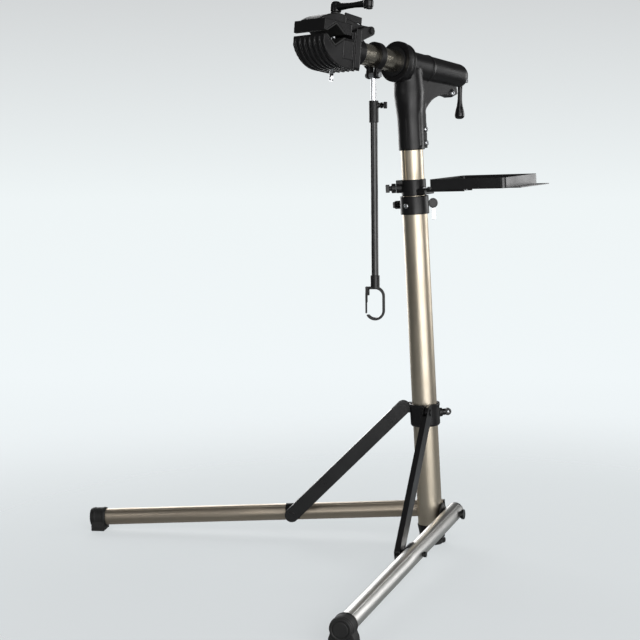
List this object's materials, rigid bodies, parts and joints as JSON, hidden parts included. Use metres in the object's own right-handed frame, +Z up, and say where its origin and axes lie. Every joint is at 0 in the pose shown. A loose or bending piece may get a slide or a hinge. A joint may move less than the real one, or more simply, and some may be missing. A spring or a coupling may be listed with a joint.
{
  "type": "folding bicycle repair stand",
  "caption": "Folding bicycle repair stand: leaning telescopic mast on a foot, folding legs with struts, turning clamp arm with jaws, tool tray and a holder rod.",
  "frame": {"origin": "middle of the mast foot's underside, on the floor", "axes": "+Z up; +X level, midway between the two legs, the way the mast leans; +Y towards the left leg"},
  "size_m": [0.6518, 1.0094, 1.0794],
  "materials": {
    "tube_anodised": "satin champagne anodised",
    "arm_anodised": "satin silver anodised",
    "cast_black": "black glass-filled nylon, fine moulded texture",
    "powder_black": "black powder coat on steel",
    "rubber_black": "matt black rubber",
    "moulded_black": "black moulded grip plastic",
    "chromed": "chrome plated",
    "zinc_steel": "zinc plated",
    "nylon_black": "black nylon"
  },
  "bodies": {
    "base": {"base_casting": "cast_black", "mast_foot_pad": "rubber_black", "leg_pivot_bolts": "moulded_black", "lower_tube": "tube_anodised", "top_collar": "cast_black", "top_collar_liner": "nylon_black", "top_skewer": "chromed", "key_screw": "zinc_steel"},
    "skewer_knob": {"skewer_knob": "moulded_black"},
    "top_lever": {"top_lever": "chromed"},
    "brace_collar": {"brace_collar": "cast_black", "strut_pins": "powder_black"},
    "collar_knob": {"collar_knob": "moulded_black"},
    "leg_left": {"leg_tube_left": "tube_anodised", "leg_plug_left": "cast_black", "foot_cap_left": "rubber_black", "strut_saddle_left": "cast_black", "strut_bolt_left": "powder_black"},
    "leg_right": {"leg_tube_right": "tube_anodised", "leg_plug_right": "cast_black", "foot_cap_right": "rubber_black", "strut_saddle_right": "cast_black", "strut_bolt_right": "powder_black"},
    "strut_left": {"strut_left": "powder_black", "strut_rivet_left": "powder_black"},
    "strut_right": {"strut_right": "powder_black", "strut_rivet_right": "powder_black"},
    "upper_mast": {"upper_tube": "tube_anodised", "upper_tube_glide": "nylon_black", "head_casting": "cast_black", "head_clamp_bolts": "zinc_steel", "arm_bushing_front": "nylon_black", "arm_bushing_rear": "nylon_black", "head_lever_pin": "zinc_steel"},
    "head_lever": {"head_lever": "moulded_black"},
    "tray": {"tray_clamp": "cast_black", "tray_bracket": "powder_black", "tray_pan": "powder_black", "tray_screws": "zinc_steel"},
    "tray_knob": {"tray_knob": "moulded_black"},
    "arm": {"arm_tube": "arm_anodised", "arm_end_cap": "nylon_black", "lower_jaw": "cast_black", "lower_jaw_pad": "rubber_black", "jaw_bolts": "zinc_steel", "jaw_hinge_pin": "powder_black"},
    "upper_jaw": {"upper_jaw": "cast_black", "upper_jaw_pad": "rubber_black"},
    "thrust_washer": {"thrust_washer": "nylon_black"},
    "crank": {"clamp_screw": "chromed", "crank_handle": "moulded_black"},
    "crank_knob": {"crank_knob": "moulded_black"},
    "rod_ring": {"rod_ring": "cast_black", "rod_ring_bolt": "zinc_steel"},
    "rod": {"rod_inner": "chromed"},
    "rod_outer": {"rod_sleeve": "cast_black", "rod_outer": "powder_black", "holder_cradle": "cast_black"},
    "rod_screw": {"rod_screw": "moulded_black"},
    "holder_strap": {"holder_strap": "rubber_black"}
  },
  "joints": [
    {"name": "collar_slide", "type": "slide", "parent": "base", "child": "brace_collar", "axis": [0.0682, 0, 0.9977], "range_m": [0, 0.38118]},
    {"name": "collar_knob_turn", "type": "hinge", "parent": "brace_collar", "child": "collar_knob", "pos_m": [-0.01909, 0.01368, 0.27193], "axis": [-0.9375, 0.342, 0.0641], "continuous": true},
    {"name": "leg_left_fold", "type": "hinge", "parent": "base", "child": "leg_left", "pos_m": [-0.02459, 0.03606, 0.06383], "axis": [0.6238, -0.7804, -0.0426], "range_deg": [0, 73]},
    {"name": "strut_left_swing", "type": "hinge", "parent": "brace_collar", "child": "strut_left", "pos_m": [0.04297, 0.04218, 0.27872], "axis": [-0.6238, 0.7804, 0.0426], "range_deg": [0, 41.09]},
    {"name": "leg_right_fold", "type": "hinge", "parent": "base", "child": "leg_right", "pos_m": [-0.02459, -0.03606, 0.06383], "axis": [-0.6238, -0.7804, 0.0426], "range_deg": [0, 73]},
    {"name": "strut_right_swing", "type": "hinge", "parent": "brace_collar", "child": "strut_right", "pos_m": [0.04297, -0.04218, 0.27872], "axis": [0.6238, 0.7804, -0.0426], "range_deg": [0, 41.09]},
    {"name": "mast_height", "type": "slide", "parent": "base", "child": "upper_mast", "axis": [0.0682, 0, 0.9977], "range_m": [0, 0.45]},
    {"name": "top_lever_swing", "type": "hinge", "parent": "base", "child": "top_lever", "pos_m": [-0.00307, -0.00657, 0.69583], "axis": [0.5864, 0.809, -0.0401], "range_deg": [0, 90]},
    {"name": "skewer_knob_turn", "type": "hinge", "parent": "base", "child": "skewer_knob", "pos_m": [0.05504, -0.04889, 0.69186], "axis": [0.8071, -0.5878, -0.0552], "continuous": true},
    {"name": "head_lever_swing", "type": "hinge", "parent": "upper_mast", "child": "head_lever", "pos_m": [-0.09007, -0.03473, 0.94234], "axis": [-0.2193, 0.9755, 0.015], "range_deg": [0, 75]},
    {"name": "tray_swivel", "type": "hinge", "parent": "upper_mast", "child": "tray", "pos_m": [0.04956, 0, 0.72531], "axis": [0.0682, 0, 0.9977], "range_deg": [-28, 165]},
    {"name": "tray_knob_turn", "type": "hinge", "parent": "tray", "child": "tray_knob", "pos_m": [0.082, -0.02352, 0.7251], "axis": [0.8071, -0.5878, -0.0552], "continuous": true},
    {"name": "arm_turn", "type": "hinge", "parent": "upper_mast", "child": "arm", "pos_m": [0.0662, 0, 0.96874], "axis": [0.9703, 0.2165, 0.1077], "continuous": true},
    {"name": "upper_jaw_open", "type": "hinge", "parent": "arm", "child": "upper_jaw", "pos_m": [0.18612, 0.02611, 1.02428], "axis": [0.2193, -0.9755, -0.015], "range_deg": [-2, 18]},
    {"name": "washer_lift", "type": "slide", "parent": "arm", "child": "thrust_washer", "axis": [-0.1019, -0.0382, 0.9941], "range_m": [-0.0032, 0.028]},
    {"name": "crank_turn", "type": "hinge", "parent": "thrust_washer", "child": "crank", "pos_m": [0.26241, 0.04278, 1.05557], "axis": [-0.1019, -0.0382, 0.9941], "range_deg": [-140, 1246]},
    {"name": "crank_knob_spin", "type": "hinge", "parent": "crank", "child": "crank_knob", "pos_m": [0.24194, 0.12396, 1.07672], "axis": [-0.1019, -0.0382, 0.9941], "continuous": true},
    {"name": "rod_ring_turn", "type": "hinge", "parent": "arm", "child": "rod_ring", "pos_m": [0.15838, 0.02057, 0.97898], "axis": [0.9703, 0.2165, 0.1077], "range_deg": [-30, 30]},
    {"name": "rod_swing", "type": "hinge", "parent": "rod_ring", "child": "rod", "pos_m": [0.16205, 0.02194, 0.94319], "axis": [0.2193, -0.9755, -0.015], "range_deg": [-3, 65]},
    {"name": "rod_extend", "type": "slide", "parent": "rod", "child": "rod_outer", "axis": [-0.0033, 0.0146, -0.9999], "range_m": [0, 0.23]},
    {"name": "rod_screw_turn", "type": "hinge", "parent": "rod_outer", "child": "rod_screw", "pos_m": [0.14707, 0.03625, 0.88594], "axis": [-0.7393, 0.6733, 0.0123], "continuous": true},
    {"name": "holder_strap_open", "type": "hinge", "parent": "rod_outer", "child": "holder_strap", "pos_m": [0.17275, 0.01921, 0.52207], "axis": [-0.5924, -0.8056, -0.0098], "range_deg": [0, 110]}
  ],
  "couplings": [
    {"joint": "leg_left_fold", "follows": "collar_slide", "rad_per_m": 3.3425},
    {"joint": "strut_left_swing", "follows": "collar_slide", "rad_per_m": 1.8814},
    {"joint": "leg_right_fold", "follows": "collar_slide", "rad_per_m": 3.3425},
    {"joint": "strut_right_swing", "follows": "collar_slide", "rad_per_m": 1.8814},
    {"joint": "washer_lift", "follows": "upper_jaw_open", "m_per_rad": 0.088},
    {"joint": "crank_turn", "follows": "upper_jaw_open", "ratio": 69.115}
  ]
}
